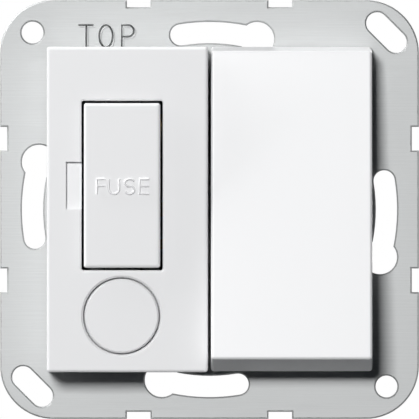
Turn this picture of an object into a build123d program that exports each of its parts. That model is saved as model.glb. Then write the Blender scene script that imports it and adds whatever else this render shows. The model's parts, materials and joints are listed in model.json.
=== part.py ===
from build123d import *
import os
from math import cos, radians, sin, tan

# A switched fused connection unit for flush mounting, in a 55 mm centre plate system.
# Sizes are in millimetres. X points right, Z points up, and the wall lies behind, towards +Y.
# The origin is the middle of the steel mounting plate, on its back face, where the wall is.

os.makedirs("parts", exist_ok=True)

# Mounting plate, 71 mm square: a margin round the 60 mm pitch of the wall box screws
box_pitch = 60.0
plate_margin = 5.5
plate_corner_r = 9.0
plate_t = 1.2
plate_edge_break = 0.25
notch_w = 4.0
notch_deep = 1.2
notch_offset = 12.0
fixing_hole_r = 1.85
fixing_slot_length = 8.2
box_slot_w = 3.6
keyhole_angle = 74.4
slot_sweep = 24.9
keyhole_r = 2.9
aperture_gap = 0.2

# Centre plate: a fixed cover on the left and a rocker on the right
front_size = 55.0
front_rise = 10.0
split_gap = 0.5
shell_t = 1.8
cover_face_t = 2.0
cover_edge_r = 0.5
skirt_corner_r = 0.5

# Fuse opening, carrier face and pry notch
opening_left = 5.89
opening_w = 13.7
opening_corner_r = 0.4
opening_edge_r = 0.38
carrier_gap = 0.4
carrier_proud = 0.8
carrier_face_t = 2.2
carrier_edge_r = 0.5
pry_w = 2.65
pry_h = 8.0
pry_deep = 1.0

# Flexible cord outlet behind the knock-out
flex_shift = -0.09
flex_up = 9.5
flex_gap = 0.9
flex_bore_r = 6.0
flex_wall = 0.7
groove_inner_r = 6.0
groove_bottom_r = 6.4
groove_outer_r = 6.85
groove_deep = 0.4

# Cartridge fuse, 1/4 by 1 inch
fuse_r = 3.175
fuse_length = 25.4
cap_length = 5.5
cap_t = 0.2
tube_clear = 0.025
tube_bore_r = 1.9

# Fuse clips
clip_t = 0.6
clip_w = 4.4
clip_clear = 0.05
clip_seat_gap = 0.4
clip_mouth = 1.8
clip_flare = 1.0
clip_flare_deep = 1.6
link_w = 1.7
link_inset = 0.25

# Fuse carrier behind its face
leg_t = 1.0
leg_w = 6.0
leg_deep = 22.2
leg_clear = 0.2
leg_side_clear = 0.3
hook_reach = 1.05
hook_t = 1.2
hook_clear = 0.3
saddle_t = 1.0
saddle_clear = 0.1
saddle_mouth = 4.4
saddle_length = 9.0
rib_t = 3.0
guide_t = 1.1
guide_deep = 8.0
guide_length = 16.0

# Front carrier between plate and cover
slab_t = 2.0
slab_gap = 0.2
tunnel_side_t = 1.2
tunnel_end_t = 1.6
cover_clear = 0.1
bridge_h = 18.0
rocker_clear = 0.45
rocker_end_clear = 0.75
ear_t = 1.6
ear_r = 2.6
ear_left_gap = 0.8
ear_right_gap = 1.05
snap_w = 2.0

# Cover hooks: one above the opening, and two beside it at the upper and the lower edge
hook_above_shift = -3.04
hook_beside_shift = 9.76
cover_leg_w = 4.0
cover_leg_t = 1.2
cover_leg_inset = 1.5
cover_lip = 0.7
ledge_t = 0.9
window_clear = 0.1

# Rocker
rocker_tilt = 6.0
pivot_y = -3.5
rocker_skirt = 6.7
rocker_end_slope = 12.0
rocker_overhang = 0.1
rocker_edge_r = 0.45

# Rocker cradle
cradle_t = 1.6
cradle_half = 16.0
cheek_t = 1.6
cheek_r = 2.2
pin_r = 1.2
pin_clear = 0.05
pin_side_gap = 0.3
pin_end_gap = 0.1
peg_r = 1.2
peg_clear = 0.05
peg_z = 12.0
peg_head_r = 1.7
peg_head_t = 0.6

# Poles
pole_inset = 4.0
earth_x = -1.0
plunger_tube_r = 2.3
plunger_r = 1.6
plunger_clear = 0.05
tube_reach = 4.2
tip_reach = 9.0
tip_r = 1.2
plunger_length = 8.2
spring_wire_r = 0.17
spring_r = 1.2
spring_turns = 5
spring_end_gap = 0.03

# Rocking blades and contacts
blade_ratio = 1.5
blade_w = 4.4
blade_t = 0.8
blade_lower = 8.5
blade_upper = 12.0
tip_gap = 0.15
rivet_r = 1.5
rivet_h = 0.9
rivet_z = 10.3
rivet_head_r = 1.1
rivet_head_h = 0.4
contact_r = 1.7
contact_gap = 0.08
blade_edge_r = 0.1
edge_gap = 0.05
edge_r = 0.3
strip_t = 0.8
strip_w = 4.0
fulcrum_half = 4.0
arm_w = 2.4
arm_gap = 0.625

# Rear housing, 50.4 mm square
housing_inset = 0.3
housing_corner_r = 3.0
well_clear = 0.5
well_wall = 2.0
chamber_wall = 1.5
bank_wall = 1.2
bank_beyond = 3.0
chamber_side = 0.2
chamber_room = 1.5
chamber_floor = 12.5
partition_t = 1.2
slot_clear = 0.1

# Terminals
block_w = 6.5
block_h = 8.5
block_deep = 8.5
block_clear = 0.1
block_inset = 1.0
wire_r = 2.1
wire_length = 7.5
wire_in = 3.3
wire_entry_r = 2.7
terminal_screw_r = 1.5
terminal_head_r = 2.3
terminal_head_t = 1.8
terminal_screw_lift = 0.1
driver_slot_w = 0.7
driver_slot_deep = 0.8
thread_clear = 0.03
head_clear = 0.1

# Bridge from the lower fuse clip to the load terminal
bridge_inset = 1.35
bridge_tab_reach = 2.8
bridge_tab_t = 0.8

# Earth strap
earth_tab_z0 = 8.0
earth_tab_length = 5.0

# Housing screws
screw_inset = 2.9
screw_r = 1.25
screw_head_r = 2.05
screw_head_t = 1.3
screw_length = 11.0

# Cord clamp
clamp_w = 5.0
clamp_t = 1.6
clamp_arch_r = 4.2
clamp_rise = 1.0
clamp_foot = 3.2
clamp_above = 11.5
clamp_screw_r = 1.0
clamp_screw_deep = 3.5
clamp_head_r = 1.6
clamp_head_t = 1.2

# Faces and edges that follow from the sizes above
box_screw_r = box_pitch / 2
plate_size = box_pitch + 2 * plate_margin
plate_front = -plate_t
face_y = plate_front - front_rise
slab_front = plate_front - slab_t
front_half = front_size / 2
cover_right = -split_gap / 2
cover_inner_y = face_y + cover_face_t
tunnel_front = cover_inner_y + cover_clear
inner_half = front_half - shell_t
leg_inner = fuse_length / 2 + leg_clear
leg_outer = leg_inner + leg_t
carrier_w = opening_w - 2 * carrier_gap
carrier_h = 2 * leg_outer
opening_h = carrier_h + 2 * carrier_gap
fuse_left = opening_left - front_half
fuse_right = fuse_left + opening_w
fuse_x = (fuse_left + fuse_right) / 2
flex_x = fuse_x + flex_shift
flex_z = flex_up - front_half
fuse_z = flex_z + groove_outer_r + flex_gap + opening_h / 2
carrier_front = face_y - carrier_proud
carrier_back = carrier_front + carrier_face_t
tube_r = fuse_r - cap_t - tube_clear
saddle_r = tube_r + saddle_clear
cap_mid = fuse_length / 2 - cap_length / 2
fulcrum_y = pivot_y + tip_reach + tip_gap + blade_t
clip_base_y = fulcrum_y + arm_gap
fuse_y = clip_base_y - clip_seat_gap - fuse_r
fuse_floor = clip_base_y + clip_t
clip_half = fuse_r + clip_clear
leg_end = carrier_front + leg_deep
well_floor = leg_end + well_clear
left_depth = well_floor + well_wall
groove_half = leg_outer + hook_reach + hook_clear
groove_w = leg_w + 2 * leg_side_clear
pedestal_half = leg_inner - leg_clear / 2
tunnel_half = opening_h / 2 + tunnel_end_t
link_right = fuse_right - link_inset
link_left = link_right - link_w
slab_edge = inner_half - slab_gap
hook_z = inner_half - cover_leg_inset
hook_above = fuse_x + hook_above_shift
hook_beside = fuse_x + hook_beside_shift
hook_places = ((hook_above, 1), (hook_beside, 1), (hook_beside, -1))
leg_back = plate_front - window_clear
rocker_half = front_half + rocker_overhang
rocker_reach = pivot_y - face_y
rocker_left = split_gap / 2
bay_left = rocker_left + shell_t + rocker_clear
bay_right = inner_half - rocker_clear
tilt_sin = sin(radians(rocker_tilt))
tilt_cos = cos(radians(rocker_tilt))
bay_half = (rocker_half - shell_t) * tilt_cos - rocker_end_clear
rocker_rear = rocker_reach - rocker_skirt
rocker_inner = rocker_reach - shell_t
end_slope = tan(radians(rocker_end_slope))
wall_across = shell_t / cos(radians(rocker_end_slope))
cradle_back = rocker_inner - cradle_t
ear_left = bay_left + ear_left_gap
ear_right = bay_right - ear_right_gap - ear_t
cradle_x0 = ear_left + ear_t + pin_side_gap
cradle_x1 = ear_right - pin_side_gap
line_x = cradle_x0 + pole_inset
neutral_x = cradle_x1 - pole_inset
screw_at = slab_edge - screw_inset
housing_half = slab_edge - housing_inset
housing_size = 2 * housing_half
chamber_x0 = cradle_x0 - chamber_side
chamber_x1 = cradle_x1 + chamber_side
chamber_z0 = -blade_lower - chamber_room
chamber_z1 = blade_upper + chamber_room
middle_depth = chamber_floor + chamber_wall
block_z = housing_half - block_inset - block_h / 2
blade_tilt = blade_ratio * rocker_tilt
rivet_swing = (rivet_z + rivet_r) * sin(radians(blade_tilt))
contact_y = fulcrum_y + rivet_h * cos(radians(blade_tilt)) + rivet_swing + contact_gap
strip_y = chamber_floor - strip_t
strip_end = block_z + block_h / 4
block_inner = block_z - block_h / 2
block_back = chamber_floor + block_deep
bank_depth = block_back + bank_beyond
bank_inner_z = block_inner - block_clear - bank_wall
bank_left_x = earth_x - block_w / 2 - block_clear - bank_wall
bridge_drop_x = chamber_x0 - bridge_inset
bridge_tab_right = line_x + bridge_tab_reach
clamp_z = flex_z + clamp_above
wire_y = chamber_floor + wire_in
plunger_opening = 2 * (plunger_tube_r + tube_reach * tilt_sin) + 2 * rocker_clear
poles = {"line": line_x, "neutral": neutral_x}
terminals = {"line": line_x, "neutral": neutral_x, "earth": earth_x}


def depth_plane(y):
    """A plane that faces the viewer, at depth y."""
    return Plane((0, y, 0), x_dir=(1, 0, 0), z_dir=(0, -1, 0))


def face_plane(y, tilt, height):
    """A plane along a rocking piece's face, height in front of its pivot at depth y."""
    turn = radians(tilt)
    out = Vector(0, -cos(turn), sin(turn))
    return Plane(Vector(0, y, 0) + out * height, x_dir=(1, 0, 0), z_dir=out)


def side_plane(x, y, tilt):
    """A plane seen from the right: its X runs up a face that tips back by tilt, its Y runs out."""
    turn = radians(tilt)
    return Plane((x, y, 0), x_dir=(0, sin(turn), cos(turn)), z_dir=(1, 0, 0))


def panel(x0, x1, y0, y1, mode=Mode.ADD):
    """A rectangle between two corners of the current sketch."""
    with Locations(((x0 + x1) / 2, (y0 + y1) / 2)):
        Rectangle(abs(x1 - x0), abs(y1 - y0), mode=mode)


def save(builder, label):
    """Name a finished piece and write it."""
    builder.part.label = label
    export_step(builder.part, "parts/" + label + ".step")


# Mounting plate: stamped steel, with the four keyhole slots for the wall box screws
with BuildPart() as mounting_plate:
    with BuildSketch(depth_plane(0)):
        RectangleRounded(plate_size, plate_size, plate_corner_r)
        with PolarLocations(plate_size / 2, 4):
            with Locations((0, notch_offset), (0, -notch_offset)):
                Rectangle(2 * notch_deep, notch_w, mode=Mode.SUBTRACT)
        with Locations((-box_screw_r, box_screw_r), (box_screw_r, -box_screw_r)):
            Circle(fixing_hole_r, mode=Mode.SUBTRACT)
        with Locations((box_screw_r, box_screw_r), (-box_screw_r, -box_screw_r)):
            SlotOverall(fixing_slot_length, 2 * fixing_hole_r, rotation=-45, mode=Mode.SUBTRACT)
        for turn in range(0, 360, 90):
            with BuildLine():
                inner = CenterArc((0, 0), box_screw_r - box_slot_w / 2, turn + keyhole_angle, slot_sweep)
                outer = CenterArc((0, 0), box_screw_r + box_slot_w / 2, turn + keyhole_angle, slot_sweep)
                Line(inner @ 0, outer @ 0)
                Line(inner @ 1, outer @ 1)
            make_face(mode=Mode.SUBTRACT)
        with PolarLocations(box_screw_r, 4, start_angle=keyhole_angle + slot_sweep):
            Circle(box_slot_w / 2, mode=Mode.SUBTRACT)
        with PolarLocations(box_screw_r, 4, start_angle=keyhole_angle):
            Circle(keyhole_r, mode=Mode.SUBTRACT)
    extrude(amount=plate_t)
    plate_face = mounting_plate.faces().sort_by(Axis.Y)[0]
    chamfer(plate_face.edges(), plate_edge_break)
    # Openings under the centre plate, for the fuse tunnel, the flex tube and the plungers
    with BuildSketch(depth_plane(0)):
        panel(
            fuse_left - tunnel_side_t - aperture_gap,
            fuse_right + tunnel_side_t + aperture_gap,
            fuse_z - tunnel_half - aperture_gap,
            fuse_z + tunnel_half + aperture_gap,
        )
        with Locations((flex_x, flex_z)):
            Circle(flex_bore_r + flex_wall + aperture_gap)
        panel(chamber_x0, chamber_x1, -2 * ear_r, 2 * ear_r)
        with GridLocations(2 * screw_at, 2 * screw_at, 2, 2):
            Circle(screw_r + head_clear)
    extrude(amount=plate_t, mode=Mode.SUBTRACT)
save(mounting_plate, "mounting_plate")

# Front carrier: moulded frame on the plate, with the fuse tunnel and the rocker's bearing ears
with BuildPart() as front_carrier:
    with BuildSketch(depth_plane(plate_front)):
        panel(-slab_edge, cover_right, -slab_edge, slab_edge)
        panel(cover_right, bay_left, -bridge_h / 2, bridge_h / 2)
        panel(bay_left, bay_right, -bay_half, bay_half)
    extrude(amount=slab_t)
    # Tunnel that guides the fuse carrier, and the tube for the flexible cord
    with BuildSketch(depth_plane(0)):
        panel(
            fuse_left - tunnel_side_t,
            fuse_right + tunnel_side_t,
            fuse_z - tunnel_half,
            fuse_z + tunnel_half,
        )
        with Locations((flex_x, flex_z)):
            Circle(flex_bore_r + flex_wall)
    extrude(amount=-tunnel_front)
    with BuildSketch(depth_plane(0)):
        panel(fuse_left, fuse_right, fuse_z - opening_h / 2, fuse_z + opening_h / 2)
        with Locations((fuse_x, fuse_z)):
            Rectangle(groove_w, 2 * groove_half)
        with Locations((flex_x, flex_z)):
            Circle(flex_bore_r)
        with Locations(((chamber_x0 + chamber_x1) / 2, 0)):
            Rectangle(chamber_x1 - chamber_x0, plunger_opening)
    extrude(amount=-tunnel_front, mode=Mode.SUBTRACT)
    # Bearing ears with snap-in slots for the cradle's pins
    for ear_x in (ear_left, ear_right):
        with BuildSketch(side_plane(ear_x, pivot_y, 0)):
            Circle(ear_r)
            panel(-ear_r, ear_r, pivot_y - plate_front, 0)
            panel(-2 * ear_r, 2 * ear_r, -2 * ear_r, pivot_y - plate_front, mode=Mode.SUBTRACT)
            Circle(pin_r + pin_clear, mode=Mode.SUBTRACT)
            panel(-snap_w / 2, snap_w / 2, 0, 2 * ear_r, mode=Mode.SUBTRACT)
        extrude(amount=ear_t)
    for groove_start, groove_end in (
        (ear_left - pin_end_gap - pin_side_gap, chamber_x0),
        (chamber_x1, ear_right + ear_t + pin_end_gap + pin_side_gap),
    ):
        with BuildSketch(side_plane(groove_start, pivot_y, 0)):
            Circle(pin_r + pin_clear)
        extrude(amount=groove_end - groove_start, mode=Mode.SUBTRACT)
    # Windows with a ledge each for the cover's hooks
    for hook_x, side in hook_places:
        window_half = cover_leg_w / 2 + window_clear
        window_outer = side * (hook_z + cover_leg_t / 2 + window_clear)
        with BuildSketch(depth_plane(plate_front)):
            panel(
                hook_x - window_half,
                hook_x + window_half,
                side * (hook_z - cover_leg_t / 2 - window_clear),
                window_outer,
            )
        extrude(amount=slab_t, mode=Mode.SUBTRACT)
        with BuildSketch(depth_plane(plate_front)):
            panel(
                hook_x - window_half,
                hook_x + window_half,
                side * (hook_z - cover_leg_t / 2 - cover_lip - window_clear),
                window_outer,
            )
        extrude(amount=slab_t - ledge_t, mode=Mode.SUBTRACT)
    # Sunk seats for the housing screws
    with BuildSketch(depth_plane(plate_front)):
        with GridLocations(2 * screw_at, 2 * screw_at, 2, 2):
            Circle(screw_r + head_clear)
    extrude(amount=slab_t, mode=Mode.SUBTRACT)
    with BuildSketch(depth_plane(slab_front)):
        with GridLocations(2 * screw_at, 2 * screw_at, 2, 2):
            Circle(screw_head_r + head_clear)
    extrude(amount=-screw_head_t - head_clear, mode=Mode.SUBTRACT)
save(front_carrier, "front_carrier")

# Fuse cover: the fixed left half of the centre plate
with BuildPart() as fuse_cover:
    with BuildSketch(depth_plane(slab_front)):
        panel(-front_half, cover_right, -front_half, front_half)
    extrude(amount=slab_front - face_y)
    fillet(fuse_cover.edges().filter_by(Axis.Y), skirt_corner_r)
    fillet(fuse_cover.faces().sort_by(Axis.Y)[0].edges(), cover_edge_r)
    with BuildSketch(depth_plane(slab_front)):
        panel(-inner_half, cover_right - shell_t, -inner_half, inner_half)
    extrude(amount=slab_front - cover_inner_y, mode=Mode.SUBTRACT)
    with BuildSketch(depth_plane(face_y)):
        with Locations((fuse_x, fuse_z)):
            RectangleRounded(opening_w, opening_h, opening_corner_r)
    extrude(amount=-cover_face_t, mode=Mode.SUBTRACT)
    opening_rim = fuse_cover.faces().sort_by(Axis.Y)[0].inner_wires()[0]
    fillet(opening_rim.edges(), opening_edge_r)
    with BuildSketch(depth_plane(face_y)):
        panel(fuse_left - pry_w, fuse_left, fuse_z - pry_h / 2, fuse_z + pry_h / 2)
    extrude(amount=-pry_deep, mode=Mode.SUBTRACT)
    # V groove round the knock-out
    with BuildSketch(Plane((flex_x, face_y, flex_z), x_dir=(1, 0, 0), z_dir=(0, 0, 1))):
        with BuildLine():
            Polyline((groove_inner_r, 0), (groove_bottom_r, groove_deep), (groove_outer_r, 0), close=True)
        make_face()
    revolve(axis=Axis((flex_x, 0, flex_z), (0, 1, 0)), mode=Mode.SUBTRACT)
    # Hooks that snap behind the ledges of the front carrier
    for hook_x, side in hook_places:
        leg_left = hook_x - cover_leg_w / 2
        leg_right = hook_x + cover_leg_w / 2
        leg_near = side * (hook_z - cover_leg_t / 2)
        leg_far = side * (hook_z + cover_leg_t / 2)
        with BuildSketch(depth_plane(leg_back)):
            panel(leg_left, leg_right, leg_near, leg_far)
        extrude(amount=leg_back - cover_inner_y)
        with BuildSketch(depth_plane(leg_back)):
            panel(leg_left, leg_right, leg_near - side * cover_lip, leg_far)
        extrude(amount=slab_t - ledge_t - 2 * window_clear)
save(fuse_cover, "fuse_cover")

# Fuse carrier: the drawer, with a saddle round the fuse and two hooked legs that keep it captive
with BuildPart() as fuse_carrier:
    with BuildSketch(depth_plane(carrier_back)):
        with Locations((fuse_x, fuse_z)):
            RectangleRounded(carrier_w, carrier_h, opening_corner_r)
    extrude(amount=carrier_face_t)
    fillet(fuse_carrier.faces().sort_by(Axis.Y)[0].edges(), carrier_edge_r)
    # Saddle round the fuse, open at the back, on a rib
    with BuildSketch(Plane((fuse_x, fuse_y, fuse_z - saddle_length / 2))):
        Circle(saddle_r + saddle_t)
        panel(-rib_t / 2, rib_t / 2, carrier_back - fuse_y, 0)
        Circle(saddle_r, mode=Mode.SUBTRACT)
        panel(-saddle_mouth / 2, saddle_mouth / 2, 0, 2 * saddle_r, mode=Mode.SUBTRACT)
    extrude(amount=saddle_length)
    # Side guides
    with BuildSketch(depth_plane(carrier_back + guide_deep)):
        for side in (-1, 1):
            guide_outer = fuse_x + side * carrier_w / 2
            panel(
                guide_outer - side * guide_t,
                guide_outer,
                fuse_z - guide_length / 2,
                fuse_z + guide_length / 2,
            )
    extrude(amount=guide_deep)
    # Hooked legs at the two ends
    for side in (-1, 1):
        with BuildSketch(Plane((fuse_x - leg_w / 2, 0, fuse_z), x_dir=(0, 1, 0), z_dir=(1, 0, 0))):
            panel(carrier_back, leg_end, side * leg_inner, side * leg_outer)
            with BuildLine():
                Polyline(
                    (leg_end - hook_t, side * leg_outer),
                    (leg_end - hook_t, side * (leg_outer + hook_reach)),
                    (leg_end, side * (leg_outer + hook_reach / 3)),
                    (leg_end, side * leg_outer),
                    close=True,
                )
            make_face()
        extrude(amount=leg_w)
save(fuse_carrier, "fuse_carrier")

# Rocker: the moving right half of the centre plate, a hollow shell with sloping ends
with BuildPart() as rocker:
    with BuildSketch(side_plane(rocker_left, pivot_y, rocker_tilt)):
        rocker_front_half = rocker_half - rocker_skirt * end_slope
        with BuildLine():
            Polyline(
                (-rocker_half, rocker_rear),
                (rocker_half, rocker_rear),
                (rocker_front_half, rocker_reach),
                (-rocker_front_half, rocker_reach),
                close=True,
            )
        make_face()
    extrude(amount=front_half - rocker_left)
    outward = Axis((0, pivot_y, 0), (0, -tilt_cos, tilt_sin))
    side_edges = rocker.edges().filter_by(Axis.X, reverse=True)
    up_face = Axis((0, pivot_y, 0), (0, tilt_sin, tilt_cos))
    fillet(side_edges.filter_by(up_face, reverse=True), skirt_corner_r)
    fillet(rocker.faces().sort_by(outward)[-1].edges(), rocker_edge_r)
    with BuildSketch(side_plane(rocker_left + shell_t, pivot_y, rocker_tilt)):
        inner_rear_half = rocker_half - wall_across
        inner_front_half = inner_rear_half - (rocker_inner - rocker_rear) * end_slope
        with BuildLine():
            Polyline(
                (-inner_rear_half, rocker_rear),
                (inner_rear_half, rocker_rear),
                (inner_front_half, rocker_inner),
                (-inner_front_half, rocker_inner),
                close=True,
            )
        make_face()
    extrude(amount=inner_half - rocker_left - shell_t, mode=Mode.SUBTRACT)
    # Pegs staked over behind the cradle
    with BuildSketch(face_plane(pivot_y, rocker_tilt, rocker_inner)):
        with Locations(*[(x, side * peg_z) for x in poles.values() for side in (-1, 1)]):
            Circle(peg_r)
    extrude(amount=-cradle_t - peg_clear)
    with BuildSketch(face_plane(pivot_y, rocker_tilt, cradle_back - peg_clear)):
        with Locations(*[(x, side * peg_z) for x in poles.values() for side in (-1, 1)]):
            Circle(peg_head_r)
    extrude(amount=-peg_head_t)
save(rocker, "rocker")

# Rocker cradle: the bearing frame under the rocker, with its pins and two plunger tubes
with BuildPart() as rocker_cradle:
    with BuildSketch(face_plane(pivot_y, rocker_tilt, cradle_back)):
        panel(cradle_x0, cradle_x1, -cradle_half, cradle_half)
        with Locations(*[(x, side * peg_z) for x in poles.values() for side in (-1, 1)]):
            Circle(peg_r + peg_clear, mode=Mode.SUBTRACT)
    extrude(amount=cradle_t)
    for cheek_x in (cradle_x0, cradle_x1 - cheek_t):
        with BuildSketch(side_plane(cheek_x, pivot_y, rocker_tilt)):
            Circle(cheek_r)
            panel(-cheek_r, cheek_r, 0, cradle_back)
        extrude(amount=cheek_t)
    for pin_start, pin_end in (
        (cradle_x0, ear_left - pin_end_gap),
        (cradle_x1, ear_right + ear_t + pin_end_gap),
    ):
        with BuildSketch(side_plane(pin_start, pivot_y, rocker_tilt)):
            Circle(pin_r)
        extrude(amount=pin_end - pin_start)
    with BuildSketch(face_plane(pivot_y, rocker_tilt, cradle_back)):
        with Locations(*[(x, 0) for x in poles.values()]):
            Circle(plunger_tube_r)
    extrude(amount=-cradle_back - tube_reach)
    with BuildSketch(face_plane(pivot_y, rocker_tilt, -tube_reach)):
        with Locations(*[(x, 0) for x in poles.values()]):
            Circle(plunger_r + plunger_clear)
    extrude(amount=tube_reach + cradle_back, mode=Mode.SUBTRACT)
save(rocker_cradle, "rocker_cradle")

# Plungers and the springs that press them on the blades, one of each for each pole
for pole, pole_x in poles.items():
    plunger_axis = Axis((pole_x, pivot_y, 0), (0, -tilt_cos, tilt_sin))
    plunger_top = plunger_length - tip_reach
    with BuildPart() as plunger:
        with BuildSketch(side_plane(pole_x, pivot_y, rocker_tilt)):
            with BuildLine():
                Polyline(
                    (0, tip_r - tip_reach),
                    (0, plunger_top),
                    (plunger_r, plunger_top),
                    (plunger_r, -2 * tip_r - tube_reach),
                    (tip_r, plunger_r - tip_reach),
                    (tip_r, tip_r - tip_reach),
                    close=True,
                )
            make_face()
            with Locations((0, tip_r - tip_reach)):
                Circle(tip_r)
            panel(-2 * tip_r, 0, -2 * tip_reach, tip_reach, mode=Mode.SUBTRACT)
        revolve(axis=plunger_axis)
    save(plunger, pole + "_plunger")

    spring_start = plunger_top + spring_wire_r + spring_end_gap
    spring_height = cradle_back - spring_wire_r - spring_end_gap - spring_start
    spring_plane = face_plane(pivot_y, rocker_tilt, spring_start)
    with BuildPart() as spring:
        with BuildLine() as coil:
            Helix(
                spring_height / spring_turns,
                spring_height,
                spring_r,
                center=spring_plane.origin + Vector(pole_x, 0, 0),
                direction=spring_plane.z_dir,
            )
        with BuildSketch(Plane(coil.line @ 0, z_dir=coil.line % 0)):
            RegularPolygon(spring_wire_r, 6)
        sweep(is_frenet=True)
    save(spring, pole + "_spring")

# Rocking blades: brass strips with a silver rivet and a groove that sits on the fulcrum's edge
for pole, pole_x in poles.items():
    with BuildPart() as blade:
        with BuildSketch(side_plane(pole_x - blade_w / 2, fulcrum_y, -blade_tilt)):
            panel(-blade_lower, blade_upper, 0, blade_t)
        extrude(amount=blade_w)
        lengthwise = Axis((pole_x, fulcrum_y, 0), side_plane(0, 0, -blade_tilt).x_dir)
        fillet(blade.edges().filter_by(lengthwise), blade_edge_r)
        with BuildSketch(side_plane(pole_x - blade_w / 2, fulcrum_y, -blade_tilt)):
            Circle(edge_r + edge_gap)
        extrude(amount=blade_w, mode=Mode.SUBTRACT)
        with BuildSketch(face_plane(fulcrum_y, -blade_tilt, 0)):
            with Locations((pole_x, rivet_z)):
                Circle(rivet_r)
        extrude(amount=-rivet_h)
        with BuildSketch(face_plane(fulcrum_y, -blade_tilt, blade_t)):
            with Locations((pole_x, rivet_z)):
                Circle(rivet_head_r)
        extrude(amount=rivet_head_h)
    save(blade, pole + "_blade")

# Fixed contacts: a strip under the supply terminal with the contact rivet on it
for pole, pole_x in poles.items():
    with BuildPart() as fixed_contact:
        with BuildSketch(depth_plane(chamber_floor)):
            panel(pole_x - strip_w / 2, pole_x + strip_w / 2, rivet_z - contact_r, strip_end)
        extrude(amount=strip_t)
        with BuildSketch(depth_plane(strip_y)):
            with Locations((pole_x, rivet_z)):
                Circle(contact_r)
        extrude(amount=strip_y - contact_y)
    save(fixed_contact, pole + "_fixed_contact")

# Line fulcrum: the edge that the line blade rocks on, with its arm to the upper fuse clip
with BuildPart() as line_fulcrum:
    with BuildSketch(depth_plane(chamber_floor)):
        panel(line_x - strip_w / 2, line_x + strip_w / 2, -fulcrum_half, fulcrum_half)
    extrude(amount=strip_t)
    with BuildSketch(side_plane(line_x - strip_w / 2, fulcrum_y, 0)):
        panel(-edge_r, edge_r, fulcrum_y - strip_y, 0)
        Circle(edge_r)
    extrude(amount=strip_w)
    with BuildSketch(depth_plane(fuse_floor)):
        panel(link_left, line_x, -arm_w / 2, arm_w / 2)
        panel(link_left, link_right, -arm_w / 2, fuse_z + cap_mid - clip_w / 2)
    extrude(amount=clip_t)
save(line_fulcrum, "line_fulcrum")

# Neutral fulcrum: the same edge on a strip that runs under the neutral load terminal
with BuildPart() as neutral_fulcrum:
    with BuildSketch(depth_plane(chamber_floor)):
        panel(neutral_x - strip_w / 2, neutral_x + strip_w / 2, -strip_end, fulcrum_half)
    extrude(amount=strip_t)
    with BuildSketch(side_plane(neutral_x - strip_w / 2, fulcrum_y, 0)):
        panel(-edge_r, edge_r, fulcrum_y - strip_y, 0)
        Circle(edge_r)
    extrude(amount=strip_w)
save(neutral_fulcrum, "neutral_fulcrum")

# Fuse clips: U strips with flared mouths. The lower one carries on to the line load terminal.
for clip_name, clip_side in (("fuse_clip_top", 1), ("fuse_clip_bottom", -1)):
    clip_z = fuse_z + clip_side * cap_mid
    with BuildPart() as fuse_clip:
        with BuildSketch(Plane((fuse_x, 0, clip_z - clip_w / 2))):
            mouth_y = fuse_y - clip_mouth
            flare_y = mouth_y - clip_flare_deep
            with BuildLine():
                Polyline(
                    (0, clip_base_y),
                    (clip_half, clip_base_y),
                    (clip_half, mouth_y),
                    (clip_half + clip_flare, flare_y),
                    (clip_half + clip_flare + clip_t, flare_y),
                    (clip_half + clip_t, mouth_y),
                    (clip_half + clip_t, fuse_floor),
                    (0, fuse_floor),
                    close=True,
                )
            make_face()
            mirror(about=Plane.YZ)
        extrude(amount=clip_w)
        if clip_side > 0:
            with BuildSketch(depth_plane(fuse_floor)):
                panel(fuse_x + clip_half, link_right, clip_z - clip_w / 2, clip_z + clip_w / 2)
            extrude(amount=clip_t)
        else:
            bridge_left = bridge_drop_x - link_w / 2
            bridge_right = bridge_drop_x + link_w / 2
            with BuildSketch(depth_plane(fuse_floor)):
                panel(fuse_x + clip_half, bridge_right, clip_z - link_w / 2, clip_z + link_w / 2)
                panel(bridge_left, bridge_right, -block_inner, clip_z)
            extrude(amount=clip_t)
            with BuildSketch(depth_plane(clip_base_y)):
                panel(bridge_left, bridge_tab_right, -block_inner, bridge_tab_t - block_inner)
            extrude(amount=clip_base_y - wire_y + wire_r)
    save(fuse_clip, clip_name)

# Cartridge fuse: a ceramic tube with two end caps
with BuildPart() as fuse_tube:
    with BuildSketch(Plane((fuse_x, fuse_y, fuse_z - fuse_length / 2 + cap_t))):
        Circle(tube_r)
        Circle(tube_bore_r, mode=Mode.SUBTRACT)
    extrude(amount=fuse_length - 2 * cap_t)
save(fuse_tube, "fuse_tube")

for cap_name, cap_side in (("fuse_cap_top", 1), ("fuse_cap_bottom", -1)):
    with BuildPart() as fuse_cap:
        with BuildSketch(Plane((fuse_x, fuse_y, fuse_z + cap_side * fuse_length / 2))):
            Circle(fuse_r)
        extrude(amount=-cap_side * cap_length)
        with BuildSketch(Plane((fuse_x, fuse_y, fuse_z + cap_side * (fuse_length / 2 - cap_t)))):
            Circle(tube_r + tube_clear)
        extrude(amount=-cap_side * cap_length, mode=Mode.SUBTRACT)
    save(fuse_cap, cap_name)

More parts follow.
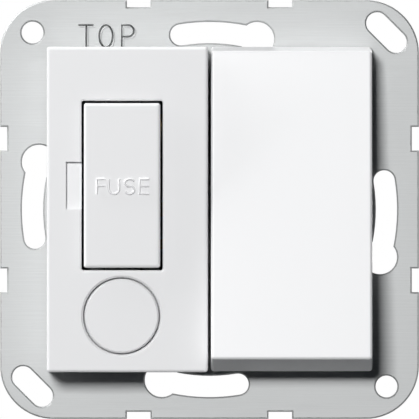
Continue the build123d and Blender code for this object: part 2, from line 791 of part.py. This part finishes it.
# Rear housing: moulded base with the fuse well, the contact chamber and two terminal banks
with BuildPart() as rear_housing:
    with BuildSketch(depth_plane(0)):
        RectangleRounded(housing_size, housing_size, housing_corner_r)
    extrude(amount=-left_depth)
    with BuildSketch(depth_plane(left_depth)):
        RectangleRounded(housing_size, housing_size, housing_corner_r)
        panel(-housing_half, bank_left_x, -housing_half, housing_half, mode=Mode.SUBTRACT)
    extrude(amount=left_depth - middle_depth)
    with BuildSketch(depth_plane(middle_depth)):
        RectangleRounded(housing_size, housing_size, housing_corner_r)
        panel(-housing_half, bank_left_x, -housing_half, housing_half, mode=Mode.SUBTRACT)
        panel(bank_left_x, housing_half, -bank_inner_z, bank_inner_z, mode=Mode.SUBTRACT)
    extrude(amount=middle_depth - bank_depth)
    # Fuse well, with deeper ends for the carrier's legs
    with BuildSketch(depth_plane(0)):
        panel(fuse_left, fuse_right, fuse_z - opening_h / 2, fuse_z + opening_h / 2)
    extrude(amount=-fuse_floor, mode=Mode.SUBTRACT)
    with BuildSketch(depth_plane(0)):
        for side in (-1, 1):
            panel(
                fuse_x - groove_w / 2,
                fuse_x + groove_w / 2,
                fuse_z + side * pedestal_half,
                fuse_z + side * groove_half,
            )
    extrude(amount=-well_floor, mode=Mode.SUBTRACT)
    # Channel for the flexible cord
    with BuildSketch(depth_plane(0)):
        with Locations((flex_x, flex_z)):
            Circle(flex_bore_r)
    extrude(amount=-left_depth, mode=Mode.SUBTRACT)
    # Contact chamber, in two halves with a partition between the poles
    with BuildSketch(depth_plane(0)):
        panel(chamber_x0, chamber_x1, chamber_z0, chamber_z1)
        with Locations(((line_x + neutral_x) / 2, 0)):
            Rectangle(partition_t, housing_size, mode=Mode.SUBTRACT)
    extrude(amount=-chamber_floor, mode=Mode.SUBTRACT)
    # Slots for the arm to the upper clip and for the bridge from the lower clip
    lower_clip_z = fuse_z - cap_mid
    slot_half = link_w / 2 + slot_clear
    with BuildSketch(depth_plane(0)):
        panel(link_left, chamber_x0, -arm_w / 2 - slot_clear, arm_w / 2 + slot_clear)
        panel(link_left, bridge_drop_x + slot_half, lower_clip_z - slot_half, lower_clip_z + slot_half)
        panel(bridge_drop_x - slot_half, bridge_drop_x + slot_half, -block_inner, lower_clip_z)
    extrude(amount=-fuse_floor, mode=Mode.SUBTRACT)
    with BuildSketch(depth_plane(0)):
        panel(
            bridge_drop_x - slot_half,
            bridge_tab_right + slot_clear,
            -block_inner - slot_clear,
            bridge_tab_t - block_inner + slot_clear,
        )
    extrude(amount=wire_r - wire_y - slot_clear, mode=Mode.SUBTRACT)
    # Recesses for the contact strips that run under the terminals
    with BuildSketch(depth_plane(chamber_floor)):
        for pole_x in poles.values():
            strip_half = strip_w / 2 + slot_clear
            panel(pole_x - strip_half, pole_x + strip_half, 0, strip_end + slot_clear)
        panel(neutral_x - strip_half, neutral_x + strip_half, -strip_end - slot_clear, 0)
    extrude(amount=strip_t, mode=Mode.SUBTRACT)
    # Terminal pockets, open at the back for the screws and at the side for the wires
    block_half = block_w / 2 + block_clear
    with BuildSketch(depth_plane(bank_depth)):
        for terminal_x in terminals.values():
            for side in (-1, 1):
                panel(
                    terminal_x - block_half,
                    terminal_x + block_half,
                    side * (block_inner - block_clear),
                    side * (block_z + block_h / 2 + block_clear),
                )
    extrude(amount=bank_depth - chamber_floor, mode=Mode.SUBTRACT)
    with BuildSketch(Plane.XY.offset(-housing_half)):
        with Locations(*[(x, wire_y) for x in terminals.values()]):
            Circle(wire_entry_r)
    extrude(amount=housing_half - block_z, mode=Mode.SUBTRACT)
    with BuildSketch(Plane.XY.offset(block_z)):
        with Locations(*[(x, wire_y) for x in terminals.values()]):
            Circle(wire_entry_r)
    extrude(amount=housing_half - block_z, mode=Mode.SUBTRACT)
    # Slots for the earth strap
    earth_half = strip_w / 2 + slot_clear
    with BuildSketch(side_plane(earth_x - earth_half, 0, 0)):
        panel(earth_tab_z0 - slot_clear, earth_tab_z0 + earth_tab_length + slot_clear, -strip_t, 0)
        panel(earth_tab_z0 - slot_clear, earth_tab_z0 + strip_t + slot_clear, -middle_depth, 0)
        panel(-block_inner, block_inner, -middle_depth - strip_t - slot_clear, -middle_depth)
    extrude(amount=2 * earth_half, mode=Mode.SUBTRACT)
    # Pilot holes for the housing screws and the clamp screws
    with BuildSketch(depth_plane(0)):
        with GridLocations(2 * screw_at, 2 * screw_at, 2, 2):
            Circle(screw_r + thread_clear)
    extrude(amount=-screw_length, mode=Mode.SUBTRACT)
    with BuildSketch(depth_plane(left_depth)):
        for side in (-1, 1):
            with Locations((flex_x + side * (clamp_arch_r + clamp_t + clamp_foot / 2), clamp_z)):
                Circle(clamp_screw_r + thread_clear)
    extrude(amount=clamp_screw_deep + clamp_t, mode=Mode.SUBTRACT)
save(rear_housing, "rear_housing")

# Terminals: brass blocks with a blind wire bore and a clamping screw from behind
wire_mouth = block_z + block_h / 2
for row, side in (("supply", 1), ("load", -1)):
    for circuit, terminal_x in terminals.items():
        with BuildPart() as terminal:
            with BuildSketch(depth_plane(chamber_floor)):
                with Locations((terminal_x, side * block_z)):
                    Rectangle(block_w, block_h)
            extrude(amount=-block_deep)
            with BuildSketch(Plane.XY.offset(side * wire_mouth)):
                with Locations((terminal_x, wire_y)):
                    Circle(wire_r)
            extrude(amount=-side * wire_length, mode=Mode.SUBTRACT)
            with BuildSketch(depth_plane(block_back)):
                with Locations((terminal_x, side * block_z)):
                    Circle(terminal_screw_r + thread_clear)
            extrude(amount=block_back - wire_y, mode=Mode.SUBTRACT)
        save(terminal, row + "_" + circuit + "_terminal")

# Terminal screws: six slotted screws, backed off to let the wires in
screw_tip_y = wire_y + wire_r + terminal_screw_lift
screw_seat_y = block_back + terminal_screw_lift
with BuildPart() as terminal_screws:
    places = [(x, side * block_z) for x in terminals.values() for side in (-1, 1)]
    with BuildSketch(depth_plane(screw_tip_y)):
        with Locations(*places):
            Circle(terminal_screw_r)
    extrude(amount=screw_tip_y - screw_seat_y)
    with BuildSketch(depth_plane(screw_seat_y)):
        with Locations(*places):
            Circle(terminal_head_r)
    extrude(amount=-terminal_head_t)
    with BuildSketch(depth_plane(screw_seat_y + terminal_head_t)):
        with Locations(*places):
            Rectangle(2 * terminal_head_r, driver_slot_w)
    extrude(amount=driver_slot_deep, mode=Mode.SUBTRACT)
save(terminal_screws, "terminal_screws")

# Earth strap: from a tab under the steel plate, through the housing, to both earth terminals
with BuildPart() as earth_strap:
    with BuildSketch(side_plane(earth_x - strip_w / 2, 0, 0)):
        panel(earth_tab_z0, earth_tab_z0 + earth_tab_length, -strip_t, 0)
        panel(earth_tab_z0, earth_tab_z0 + strip_t, -middle_depth - strip_t, 0)
        panel(-block_inner, block_inner, -middle_depth - strip_t, -middle_depth)
    extrude(amount=strip_w)
save(earth_strap, "earth_strap")

# Housing screws: through front carrier and plate into the rear housing
screw_top = slab_front + head_clear
with BuildPart() as housing_screws:
    with BuildSketch(depth_plane(screw_top)):
        with GridLocations(2 * screw_at, 2 * screw_at, 2, 2):
            Circle(screw_head_r)
    extrude(amount=-screw_head_t)
    with BuildSketch(depth_plane(screw_top + screw_head_t)):
        with GridLocations(2 * screw_at, 2 * screw_at, 2, 2):
            Circle(screw_r)
    extrude(amount=screw_head_t - screw_length)
    with BuildSketch(depth_plane(screw_top)):
        with GridLocations(2 * screw_at, 2 * screw_at, 2, 2):
            Rectangle(2 * screw_head_r, driver_slot_w)
    extrude(amount=-driver_slot_deep, mode=Mode.SUBTRACT)
save(housing_screws, "housing_screws")

# Cord clamp: an arched bar across the flexible cord, with its two screws
arch_outer = clamp_arch_r + clamp_t
clamp_half = arch_outer + clamp_foot
clamp_screw_x = arch_outer + clamp_foot / 2
with BuildPart() as cord_clamp:
    with BuildSketch(Plane((flex_x, left_depth, clamp_z - clamp_w / 2))):
        with Locations((0, clamp_rise)):
            Circle(arch_outer)
        panel(-clamp_half, clamp_half, 0, clamp_t)
        panel(-arch_outer, arch_outer, 0, clamp_rise)
        with Locations((0, clamp_rise)):
            Circle(clamp_arch_r, mode=Mode.SUBTRACT)
        panel(-clamp_arch_r, clamp_arch_r, 0, clamp_rise, mode=Mode.SUBTRACT)
        panel(-clamp_half, clamp_half, -2 * arch_outer, 0, mode=Mode.SUBTRACT)
    extrude(amount=clamp_w)
    with BuildSketch(depth_plane(left_depth)):
        with Locations((flex_x - clamp_screw_x, clamp_z), (flex_x + clamp_screw_x, clamp_z)):
            Circle(clamp_screw_r + thread_clear)
    extrude(amount=-clamp_t, mode=Mode.SUBTRACT)
save(cord_clamp, "cord_clamp")

clamp_seat_y = left_depth + clamp_t
with BuildPart() as cord_clamp_screws:
    with BuildSketch(depth_plane(clamp_seat_y)):
        with Locations((flex_x - clamp_screw_x, clamp_z), (flex_x + clamp_screw_x, clamp_z)):
            Circle(clamp_screw_r)
    extrude(amount=clamp_t + clamp_screw_deep)
    with BuildSketch(depth_plane(clamp_seat_y)):
        with Locations((flex_x - clamp_screw_x, clamp_z), (flex_x + clamp_screw_x, clamp_z)):
            Circle(clamp_head_r)
    extrude(amount=-clamp_head_t)
    with BuildSketch(depth_plane(clamp_seat_y + clamp_head_t)):
        with Locations((flex_x - clamp_screw_x, clamp_z), (flex_x + clamp_screw_x, clamp_z)):
            Rectangle(driver_slot_w, 2 * clamp_head_r)
    extrude(amount=driver_slot_deep, mode=Mode.SUBTRACT)
save(cord_clamp_screws, "cord_clamp_screws")
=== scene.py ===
import json
import math

import bpy
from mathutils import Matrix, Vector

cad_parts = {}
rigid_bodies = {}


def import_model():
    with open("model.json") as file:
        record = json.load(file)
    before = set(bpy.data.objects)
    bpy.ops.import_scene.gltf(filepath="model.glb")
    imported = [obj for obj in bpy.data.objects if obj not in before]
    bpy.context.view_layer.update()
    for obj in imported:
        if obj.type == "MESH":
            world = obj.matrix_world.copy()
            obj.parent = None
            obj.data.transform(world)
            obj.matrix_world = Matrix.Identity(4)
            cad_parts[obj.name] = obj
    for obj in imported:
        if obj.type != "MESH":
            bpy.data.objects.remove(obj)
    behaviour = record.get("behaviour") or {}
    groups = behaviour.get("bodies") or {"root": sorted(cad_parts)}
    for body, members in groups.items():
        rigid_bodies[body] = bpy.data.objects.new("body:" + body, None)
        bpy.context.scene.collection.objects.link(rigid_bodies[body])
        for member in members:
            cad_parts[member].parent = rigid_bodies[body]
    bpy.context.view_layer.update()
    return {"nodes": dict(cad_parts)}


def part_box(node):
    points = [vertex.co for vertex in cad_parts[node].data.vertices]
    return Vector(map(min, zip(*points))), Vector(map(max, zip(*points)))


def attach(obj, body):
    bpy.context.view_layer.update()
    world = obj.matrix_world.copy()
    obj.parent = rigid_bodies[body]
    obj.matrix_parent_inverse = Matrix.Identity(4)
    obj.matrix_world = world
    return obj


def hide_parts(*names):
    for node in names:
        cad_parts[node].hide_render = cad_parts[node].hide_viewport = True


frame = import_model()


# Mounting plate. Cold-rolled steel sheet, zinc plated and brushed along its length, stamped
# in one blow, so its front edges and the rims of its holes are slightly rolled.
# The word TOP is struck into it with a V-shaped punch that throws up a slight lip.
def new_material(name):
    """An empty material, with its node tree and its shader."""
    material = bpy.data.materials.new(name)
    material.use_nodes = True
    tree = material.node_tree
    return material, tree, tree.nodes["Principled BSDF"]


def object_pattern(tree, scale):
    """Object coordinates, stretched by scale, for the patterns of a material."""
    coords = tree.nodes.new("ShaderNodeTexCoord")
    mapping = tree.nodes.new("ShaderNodeMapping")
    mapping.inputs["Scale"].default_value = scale
    tree.links.new(coords.outputs["Object"], mapping.inputs["Vector"])
    return mapping.outputs["Vector"]


def grain_pattern(tree, vector, scale, detail=4.0):
    """A cloudy grain along a vector, finer with scale and richer with detail."""
    node = tree.nodes.new("ShaderNodeTexNoise")
    node.inputs["Scale"].default_value = scale
    node.inputs["Detail"].default_value = detail
    tree.links.new(vector, node.inputs["Vector"])
    return node.outputs["Fac"]


def blend(tree, pattern, low, high):
    """Two colours, or two grey values, blended over the middle of a pattern's range."""
    node = tree.nodes.new("ShaderNodeValToRGB")
    for stop, place, shade in zip(node.color_ramp.elements, (0.3, 0.7), (low, high)):
        stop.position = place
        stop.color = (*shade, 1.0) if isinstance(shade, tuple) else (shade, shade, shade, 1.0)
    tree.links.new(pattern, node.inputs["Fac"])
    return node.outputs["Color"]


def fine_relief(tree, pattern, strength, height, shader):
    """A fine relief by a pattern, with its height in metres."""
    node = tree.nodes.new("ShaderNodeBump")
    node.inputs["Strength"].default_value = strength
    node.inputs["Distance"].default_value = height
    tree.links.new(pattern, node.inputs["Height"])
    tree.links.new(node.outputs["Normal"], shader.inputs["Normal"])


def brushed_metal(name, dark, light, metallic, smooth, rough, stretch, relief):
    """Metal with fine streaks along the direction in which stretch is smallest."""
    material, tree, shader = new_material(name)
    streaks = grain_pattern(tree, object_pattern(tree, stretch), scale=1.0, detail=6.0)
    tree.links.new(blend(tree, streaks, dark, light), shader.inputs["Base Color"])
    tree.links.new(blend(tree, streaks, smooth, rough), shader.inputs["Roughness"])
    shader.inputs["Metallic"].default_value = metallic
    fine_relief(tree, streaks, strength=0.35, height=relief, shader=shader)
    return material


def paint(piece, material):
    """Give a piece one material all over."""
    piece.data.materials.clear()
    piece.data.materials.append(material)


def take_alone(piece):
    """Select one piece and nothing else."""
    bpy.ops.object.select_all(action="DESELECT")
    piece.select_set(True)
    bpy.context.view_layer.objects.active = piece


def copy_node(node_name, piece_name):
    """A free copy of a CAD node, its loose triangles merged into one skin."""
    take_alone(frame["nodes"][node_name])
    bpy.ops.object.duplicate()
    piece = bpy.context.active_object
    piece.name = piece_name
    bpy.ops.object.parent_clear(type="CLEAR_KEEP_TRANSFORM")
    bpy.ops.object.mode_set(mode="EDIT")
    bpy.ops.mesh.select_all(action="SELECT")
    bpy.ops.mesh.remove_doubles(threshold=1e-6)
    bpy.ops.object.mode_set(mode="OBJECT")
    return piece


def arc(x, z, rx, rz, start, end, steps=16):
    """Points along part of an ellipse, from start to end in degrees."""
    turn = [math.radians(start + (end - start) * i / steps) for i in range(steps + 1)]
    return [(x + rx * math.cos(a), z + rz * math.sin(a)) for a in turn]


def draw_strokes(name, strokes, y, half_width, roundness):
    """Pen strokes in the plane at depth y, in millimetres, as bars: four-sided at roundness 0."""
    curve = bpy.data.curves.new(name, "CURVE")
    curve.dimensions = "3D"
    curve.bevel_depth = half_width / 1000
    curve.bevel_resolution = roundness
    curve.use_fill_caps = True
    for closed, points in strokes:
        spline = curve.splines.new("POLY")
        spline.points.add(len(points) - 1)
        for point, (x, z) in zip(spline.points, points):
            point.co = (x / 1000, y / 1000, z / 1000, 1.0)
        spline.use_cyclic_u = closed
    piece = bpy.data.objects.new(name, curve)
    bpy.context.collection.objects.link(piece)
    take_alone(piece)
    bpy.ops.object.convert(target="MESH")
    return bpy.context.active_object


def stretch_depth(piece, y, factor):
    """Scale a piece in depth about the plane at depth y, in millimetres."""
    take_alone(piece)
    bpy.ops.transform.resize(value=(1, factor, 1), center_override=(0, y / 1000, 0))
    bpy.ops.object.transform_apply(location=True, rotation=True, scale=True)


def cut(piece, tool):
    """Take a tool's shape away from a piece."""
    strike = piece.modifiers.new("strike", "BOOLEAN")
    strike.operation = "DIFFERENCE"
    strike.solver = "EXACT"
    strike.use_self = True
    strike.object = tool
    bpy.context.view_layer.objects.active = piece
    bpy.ops.object.modifier_apply(modifier="strike")


def shade_edges(piece, sharp_angle):
    """Shade a piece smooth, but for edges sharper than an angle in degrees."""
    take_alone(piece)
    bpy.ops.mesh.customdata_custom_splitnormals_clear()
    bpy.ops.object.shade_smooth_by_angle(angle=math.radians(sharp_angle))


# The letters T, O and P, drawn in millimetres across and up from the plate's middle
plate_front_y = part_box("mounting_plate")[0][1] * 1000
top_z, base_z = 31.25, 27.5
t_left, t_right, t_mid = -22.2, -19.65, -20.87
o_x, o_half, o_mid = -17.54, 1.14, (top_z + base_z) / 2
p_x, p_bowl_x, p_bowl_r = -14.86, -13.8, 0.98
top_strokes = [
    (False, [(t_left, top_z), (t_right, top_z)]),
    (False, [(t_mid, top_z), (t_mid, base_z)]),
    (True, arc(o_x, o_mid, o_half, (top_z - base_z) / 2, 90, 450, steps=40)[:-1]),
    (False, [(p_x, base_z), (p_x, top_z), (p_bowl_x, top_z)]),
    (
        False,
        arc(p_bowl_x, top_z - p_bowl_r, p_bowl_r, p_bowl_r, 90, -90)
        + [(p_x, top_z - 2 * p_bowl_r)],
    ),
]

# The punch is a bar with a V-shaped edge, three times as deep as it is wide. The lip is a
# low bead of metal that it throws up on the lower right of each stroke.
punch_half, punch_stretch = 0.17, 3.0
lip_half, lip_sunk, lip_shift = 0.3, 0.24, 0.27
punch = draw_strokes("punch", top_strokes, plate_front_y, punch_half, roundness=0)
stretch_depth(punch, plate_front_y, punch_stretch)
plate = copy_node("mounting_plate", "stamped_plate")
lip = draw_strokes("lip", top_strokes, plate_front_y + lip_sunk, lip_half, roundness=4)
bpy.ops.transform.translate(value=(lip_shift / 1000, 0, -lip_shift / 1000))
bpy.ops.object.transform_apply(location=True, rotation=True, scale=True)
cut(plate, punch)
cut(lip, punch)
bpy.data.objects.remove(punch)
take_alone(plate)
lip.select_set(True)
bpy.ops.object.join()
shade_edges(plate, sharp_angle=25)
plate_steel = brushed_metal(
    "plate_steel",
    dark=(0.490, 0.500, 0.500),
    light=(0.568, 0.578, 0.578),
    metallic=0.7,
    smooth=0.59,
    rough=0.69,
    stretch=(90, 900, 4200),
    relief=0.000010,
)
paint(plate, plate_steel)
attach(plate, "base")
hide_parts("mounting_plate")


# Grey mouldings: the front carrier, the rear housing, the rocker's cradle and the cord clamp,
# injection moulded in a glass-filled thermoset with a matt, faintly cloudy skin.
def moulded_plastic(name, dark, light, roughness, grain, relief):
    """Moulded plastic: almost even in colour, with a fine spark-eroded or polished skin."""
    material, tree, shader = new_material(name)
    even = object_pattern(tree, (1, 1, 1))
    glossy, dull = roughness - 0.03, roughness + 0.05
    clouds = grain_pattern(tree, even, scale=60.0)
    skin = grain_pattern(tree, even, scale=grain)
    tree.links.new(blend(tree, clouds, dark, light), shader.inputs["Base Color"])
    tree.links.new(blend(tree, skin, glossy, dull), shader.inputs["Roughness"])
    fine_relief(tree, skin, strength=0.25, height=relief, shader=shader)
    return material


grey_moulding = moulded_plastic(
    "grey_moulding",
    dark=(0.50, 0.51, 0.52),
    light=(0.56, 0.57, 0.58),
    roughness=0.5,
    grain=4000.0,
    relief=0.00002,
)
for node_name in ("front_carrier", "rear_housing", "rocker_cradle", "cord_clamp"):
    paint(frame["nodes"][node_name], grey_moulding)


# Contacts and terminals: blades, fulcrums, contacts, clips and the earth strap stamped in
# brass strip, terminal blocks sawn from drawn brass bar, all slightly dulled.
contact_brass = brushed_metal(
    "contact_brass",
    dark=(0.60, 0.43, 0.19),
    light=(0.76, 0.58, 0.30),
    metallic=0.85,
    smooth=0.28,
    rough=0.42,
    stretch=(400, 400, 4000),
    relief=0.000006,
)
brass_endings = ("_blade", "_fulcrum", "_contact", "_terminal", "_strap")
for node_name in frame["nodes"]:
    if node_name.endswith(brass_endings) or node_name.startswith("fuse_clip"):
        paint(frame["nodes"][node_name], contact_brass)


# Plungers: one for each pole, turned from natural nylon rod, waxy and slightly yellow.
# They slide in the tubes of the rocker's cradle and press on the blades.
nylon = moulded_plastic(
    "nylon",
    dark=(0.66, 0.62, 0.50),
    light=(0.72, 0.68, 0.56),
    roughness=0.42,
    grain=3000.0,
    relief=0.000008,
)
for node_name in ("line_plunger", "neutral_plunger"):
    paint(frame["nodes"][node_name], nylon)


# Springs and screws: coiled spring wire behind the plungers, and cold-headed steel screws
# with a bright zinc coat for the housing, the terminals and the cord clamp.
screw_zinc = brushed_metal(
    "screw_zinc",
    dark=(0.56, 0.55, 0.51),
    light=(0.72, 0.71, 0.67),
    metallic=0.8,
    smooth=0.36,
    rough=0.5,
    stretch=(900, 900, 900),
    relief=0.000004,
)
for node_name in (
    "line_spring",
    "neutral_spring",
    "housing_screws",
    "terminal_screws",
    "cord_clamp_screws",
):
    paint(frame["nodes"][node_name], screw_zinc)


# Cartridge fuse: an unglazed ceramic tube with two pressed-on nickel-plated caps,
# gripped by the fuse carrier and held in the brass clips.
ceramic = moulded_plastic(
    "ceramic",
    dark=(0.78, 0.75, 0.68),
    light=(0.86, 0.84, 0.78),
    roughness=0.6,
    grain=1800.0,
    relief=0.00002,
)
paint(frame["nodes"]["fuse_tube"], ceramic)
cap_nickel = brushed_metal(
    "cap_nickel",
    dark=(0.62, 0.60, 0.56),
    light=(0.74, 0.72, 0.68),
    metallic=1.0,
    smooth=0.18,
    rough=0.3,
    stretch=(300, 300, 2500),
    relief=0.000004,
)
for node_name in ("fuse_cap_top", "fuse_cap_bottom"):
    paint(frame["nodes"][node_name], cap_nickel)


# Fuse cover: the fixed left half of the centre plate, moulded in glossy pure white
# thermoplastic, with a pry notch at the carrier and a grooved knock-out below it.
# A fine line runs along the bottom of the knock-out's V-shaped groove.
cover_white = moulded_plastic(
    "cover_white",
    dark=(0.838, 0.840, 0.848),
    light=(0.844, 0.846, 0.854),
    roughness=0.31,
    grain=2600.0,
    relief=0.000001,
)
cover_front_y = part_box("fuse_cover")[0][1] * 1000
groove_x, groove_z, groove_r, groove_deep = -14.85, -18.0, 6.4, 0.4
groove_bottom_y = cover_front_y + groove_deep
line_half, line_stretch = 0.16, 6.5
ring = [(True, arc(groove_x, groove_z, groove_r, groove_r, 0, 360, steps=96)[:-1])]
knife = draw_strokes("knife", ring, groove_bottom_y, line_half, roundness=0)
stretch_depth(knife, groove_bottom_y, line_stretch)
cover = copy_node("fuse_cover", "moulded_cover")
cut(cover, knife)
bpy.data.objects.remove(knife)
shade_edges(cover, sharp_angle=25)
flatten = cover.modifiers.new("flatten", "WEIGHTED_NORMAL")
flatten.keep_sharp = True
flatten.weight = 100
bpy.ops.object.modifier_apply(modifier="flatten")
paint(cover, cover_white)
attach(cover, "base")
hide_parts("fuse_cover")


# Fuse carrier: the drawer that holds the fuse, the same white moulding, with the word FUSE
# raised on its face by letters engraved in the mould.
paint(frame["nodes"]["fuse_carrier"], cover_white)
carrier_front_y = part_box("fuse_carrier")[0][1] * 1000
f_x, f_end, f_top, f_mid, f_base = -19.0, -17.62, 5.13, 3.98, 2.62
u_left, u_right, u_r = -17.02, -15.26, 0.88
s_x, s_r, s_top_z, s_base_z = -13.5, 0.8, 4.5, 3.32
e_x, e_end, e_mid = -11.78, -10.22, 3.96
fuse_strokes = [
    (False, [(f_x, f_base), (f_x, f_top), (f_end, f_top)]),
    (False, [(f_x, f_mid), (f_end, f_mid)]),
    (
        False,
        [(u_left, f_top)]
        + arc((u_left + u_right) / 2, f_base + u_r, u_r, u_r, 180, 360)
        + [(u_right, f_top)],
    ),
    (
        False,
        arc(s_x, s_top_z, s_r, f_top - s_top_z, 25, 250, steps=14)
        + arc(s_x, s_base_z, s_r, s_base_z - f_base, 70, -155, steps=14),
    ),
    (False, [(e_end, f_top), (e_x, f_top), (e_x, f_base), (e_end, f_base)]),
    (False, [(e_x, e_mid), (e_end, e_mid)]),
]
letter_half, letter_stretch, letter_sharp_angle = 0.2, 1.25, 40
lettering = draw_strokes(
    "fuse_lettering", fuse_strokes, carrier_front_y, letter_half, roundness=3
)
stretch_depth(lettering, carrier_front_y, letter_stretch)
bpy.ops.object.shade_smooth_by_angle(angle=math.radians(letter_sharp_angle))
paint(lettering, cover_white)
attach(lettering, "fuse_carrier")


# Rocker: the moving right half of the centre plate, moulded in the same glossy white and
# staked on its cradle by four pegs. At rest its lower edge stands out, so it catches more of the
# light. Its white is the cover's white painted a little darker, as painted shade that evens out
# that extra light.
rocker_white = moulded_plastic(
    "rocker_white",
    dark=(0.776, 0.778, 0.786),
    light=(0.782, 0.784, 0.792),
    roughness=0.31,
    grain=2600.0,
    relief=0.000001,
)
paint(frame["nodes"]["rocker"], rocker_white)


# Floor: a plain, pale painted floor. It lies well below the unit, which hangs at wall
# height, so that it sends no light up on the plate.
floor_side, floor_z = 0.6, -0.9
bpy.ops.object.select_all(action="DESELECT")
bpy.ops.mesh.primitive_plane_add(size=floor_side, location=(0, 0, floor_z))
floor = bpy.context.active_object
floor.name = "floor"
bpy.ops.object.transform_apply(location=True, rotation=True, scale=True)
floor_paint = moulded_plastic(
    "floor_paint",
    dark=(0.80, 0.80, 0.80),
    light=(0.83, 0.83, 0.83),
    roughness=0.6,
    grain=400.0,
    relief=0.00005,
)
paint(floor, floor_paint)


# Light: a soft lamp in front, a little up on the left, a second one far round on that side
# that draws the edges, weak ones for the right side and the back, and a white surround that
# shows through the slots.
def add_lamp(name, place, width, height, power):
    """A soft rectangular lamp aimed at the middle of the unit."""
    lamp = bpy.data.lights.new(name, "AREA")
    lamp.shape = "RECTANGLE"
    lamp.size = width
    lamp.size_y = height
    lamp.energy = power
    lamp_object = bpy.data.objects.new(name, lamp)
    bpy.context.collection.objects.link(lamp_object)
    lamp_object.location = place
    aim = lamp_object.location.to_track_quat("Z", "Y")
    lamp_object.rotation_euler = aim.to_euler()


add_lamp("key_lamp", place=(-0.42, -2.0, 0.54), width=0.54, height=0.44, power=38.5)
add_lamp("edge_lamp", place=(-1.5, -0.07, 1.5), width=0.30, height=2.60, power=58.0)
add_lamp("back_lamp", place=(0.45, 1.2, 0.25), width=0.60, height=0.60, power=12.5)
add_lamp("fill_lamp", place=(1.5, 0.12, -0.2), width=0.60, height=0.60, power=3.0)
world = bpy.data.worlds.new("surround")
bpy.context.scene.world = world
world.use_nodes = True
links = world.node_tree.links
sky_blue, paper_white = (0.5, 0.72, 1.0, 1.0), (1.0, 1.0, 1.0, 1.0)
ambient = world.node_tree.nodes["Background"]
ambient.inputs["Color"].default_value = sky_blue
ambient.inputs["Strength"].default_value = 0.012
seen = world.node_tree.nodes.new("ShaderNodeBackground")
seen.inputs["Color"].default_value = paper_white
seen.inputs["Strength"].default_value = 1.0
ray = world.node_tree.nodes.new("ShaderNodeLightPath")
choose = world.node_tree.nodes.new("ShaderNodeMixShader")
links.new(ray.outputs["Is Camera Ray"], choose.inputs["Fac"])
links.new(ambient.outputs["Background"], choose.inputs[1])
links.new(seen.outputs["Background"], choose.inputs[2])
links.new(choose.outputs["Shader"], world.node_tree.nodes["World Output"].inputs["Surface"])
bpy.context.scene.view_settings.view_transform = "Standard"


# Camera: straight in front of the unit and level with its middle. A very long lens draws it
# almost without perspective, and the plate just fills the frame.
lens_mm = 1500.0
sensor_mm = 36.0
view_width = 0.07102
camera_data = bpy.data.cameras.new("camera")
camera_data.lens = lens_mm
camera_data.sensor_width = sensor_mm
camera_data.clip_end = 10.0
camera = bpy.data.objects.new("camera", camera_data)
bpy.context.collection.objects.link(camera)
camera.location = (0, plate_front_y / 1000 - view_width * lens_mm / sensor_mm, 0)
camera.rotation_euler = (math.radians(90), 0, 0)
bpy.context.scene.camera = camera
